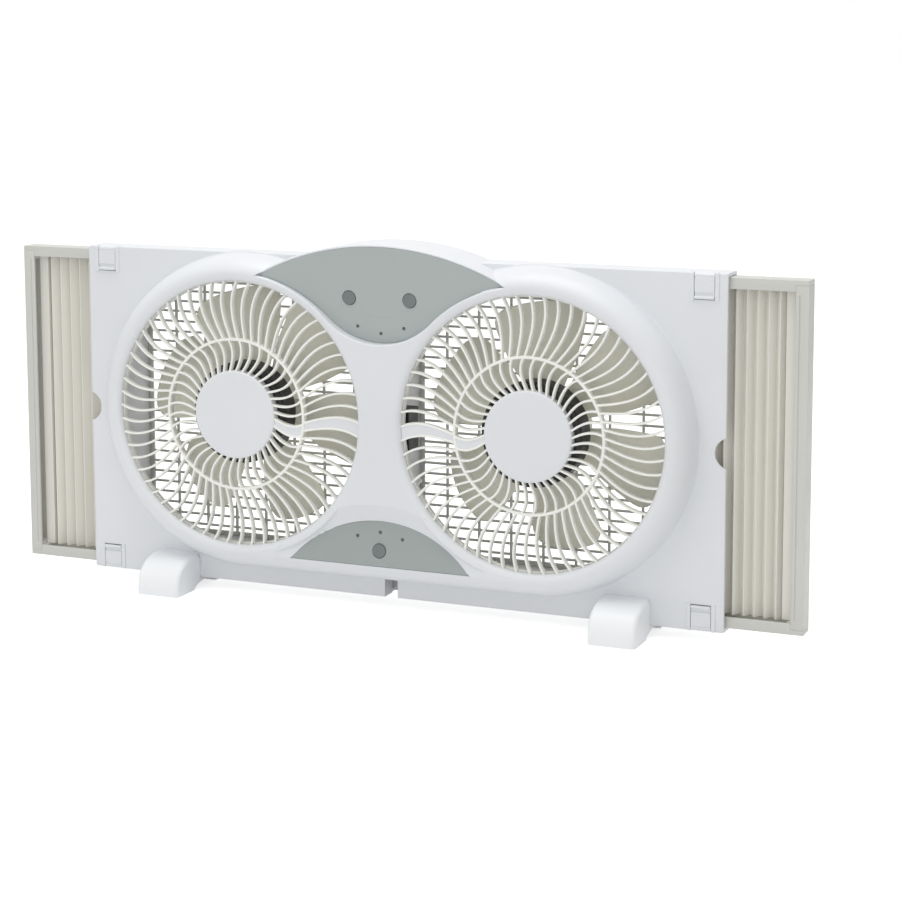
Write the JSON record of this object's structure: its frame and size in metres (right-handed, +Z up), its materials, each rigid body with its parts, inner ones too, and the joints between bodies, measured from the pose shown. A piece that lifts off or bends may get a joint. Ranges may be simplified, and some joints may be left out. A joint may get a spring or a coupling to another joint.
{
  "type": "window fan",
  "caption": "Window fan with two grilled fans in a flat housing, control panels at its waist, pleated filler panels that slide out of both sides, corner latches and arched feet.",
  "frame": {"origin": "on the floor, midway between the feet, under the middle of the housing", "axes": "+X to the viewer's right, +Y to the back, +Z up"},
  "size_m": [0.7385, 0.118, 0.3224],
  "materials": {
    "white": "satin",
    "cream": "satin",
    "grey": "satin",
    "dark_grey": "satin",
    "lens": "polished",
    "board": "matte",
    "black_plastic": "matte",
    "rubber": "matte",
    "steel": "satin",
    "motor_case": "satin",
    "bronze": "satin",
    "blade": "satin",
    "pleat": "matte"
  },
  "bodies": {
    "housing": {"front_bezel": "white", "rear_housing": "white", "left_front_grille": "cream", "right_front_grille": "cream", "left_rear_grille": "cream", "right_rear_grille": "cream", "top_control_panel": "grey", "bottom_control_panel": "grey", "top_lamp_lenses": "lens", "bottom_lamp_lenses": "lens", "top_control_board": "board", "bottom_control_board": "board", "run_capacitors": "black_plastic", "cord_gland": "rubber", "housing_screws": "steel", "motor_screws": "steel", "left_motor": "motor_case", "right_motor": "motor_case", "left_motor_bushes": "bronze", "right_motor_bushes": "bronze", "left_motor_lead": "black_plastic", "right_motor_lead": "black_plastic", "left_bellows": "pleat", "right_bellows": "pleat", "latch_pins": "steel", "left_foot": "white", "right_foot": "white", "foot_pads": "rubber"},
    "left_rotor": {"left_shaft": "steel", "left_fan": "blade", "left_blade_nut": "dark_grey"},
    "right_rotor": {"right_shaft": "steel", "right_fan": "blade", "right_blade_nut": "dark_grey"},
    "left_filler": {"left_stile": "cream", "left_top_rail": "cream", "left_bottom_rail": "cream"},
    "right_filler": {"right_stile": "cream", "right_top_rail": "cream", "right_bottom_rail": "cream"},
    "left_speed_button": {"left_speed_button": "dark_grey"},
    "right_speed_button": {"right_speed_button": "dark_grey"},
    "power_button": {"power_button": "dark_grey"},
    "top_left_latch": {"top_left_latch": "white"},
    "top_right_latch": {"top_right_latch": "white"},
    "bottom_left_latch": {"bottom_left_latch": "white"},
    "bottom_right_latch": {"bottom_right_latch": "white"}
  },
  "joints": [
    {"name": "left_fan_spin", "type": "hinge", "parent": "housing", "child": "left_rotor", "pos_m": [-0.1375, 0.02, 0.1675], "axis": [0, -1, 0], "continuous": true},
    {"name": "right_fan_spin", "type": "hinge", "parent": "housing", "child": "right_rotor", "pos_m": [0.1375, 0.02, 0.1675], "axis": [0, -1, 0], "continuous": true},
    {"name": "left_filler_slide", "type": "slide", "parent": "housing", "child": "left_filler", "axis": [-1, 0, 0], "range_m": [-0.073, 0], "deforming": ["left_bellows"]},
    {"name": "right_filler_slide", "type": "slide", "parent": "housing", "child": "right_filler", "axis": [1, 0, 0], "range_m": [-0.0655, 0], "deforming": ["right_bellows"]},
    {"name": "left_speed_button_push", "type": "slide", "parent": "housing", "child": "left_speed_button", "axis": [0, 1, 0], "range_m": [0, 0.0015], "stiffness_N_per_m": 400, "springref_m": -0.001},
    {"name": "right_speed_button_push", "type": "slide", "parent": "housing", "child": "right_speed_button", "axis": [0, 1, 0], "range_m": [0, 0.0015], "stiffness_N_per_m": 400, "springref_m": -0.001},
    {"name": "power_button_push", "type": "slide", "parent": "housing", "child": "power_button", "axis": [0, 1, 0], "range_m": [0, 0.0015], "stiffness_N_per_m": 400, "springref_m": -0.001},
    {"name": "top_left_latch_turn", "type": "hinge", "parent": "housing", "child": "top_left_latch", "pos_m": [-0.2805, -0.0065, 0.3057], "axis": [-1, 0, 0], "range_deg": [0, 80]},
    {"name": "top_right_latch_turn", "type": "hinge", "parent": "housing", "child": "top_right_latch", "pos_m": [0.2805, -0.0065, 0.3057], "axis": [-1, 0, 0], "range_deg": [0, 80]},
    {"name": "bottom_left_latch_turn", "type": "hinge", "parent": "housing", "child": "bottom_left_latch", "pos_m": [-0.2805, -0.0065, 0.0123], "axis": [1, 0, 0], "range_deg": [0, 80]},
    {"name": "bottom_right_latch_turn", "type": "hinge", "parent": "housing", "child": "bottom_right_latch", "pos_m": [0.2805, -0.0065, 0.0123], "axis": [1, 0, 0], "range_deg": [0, 80]}
  ]
}
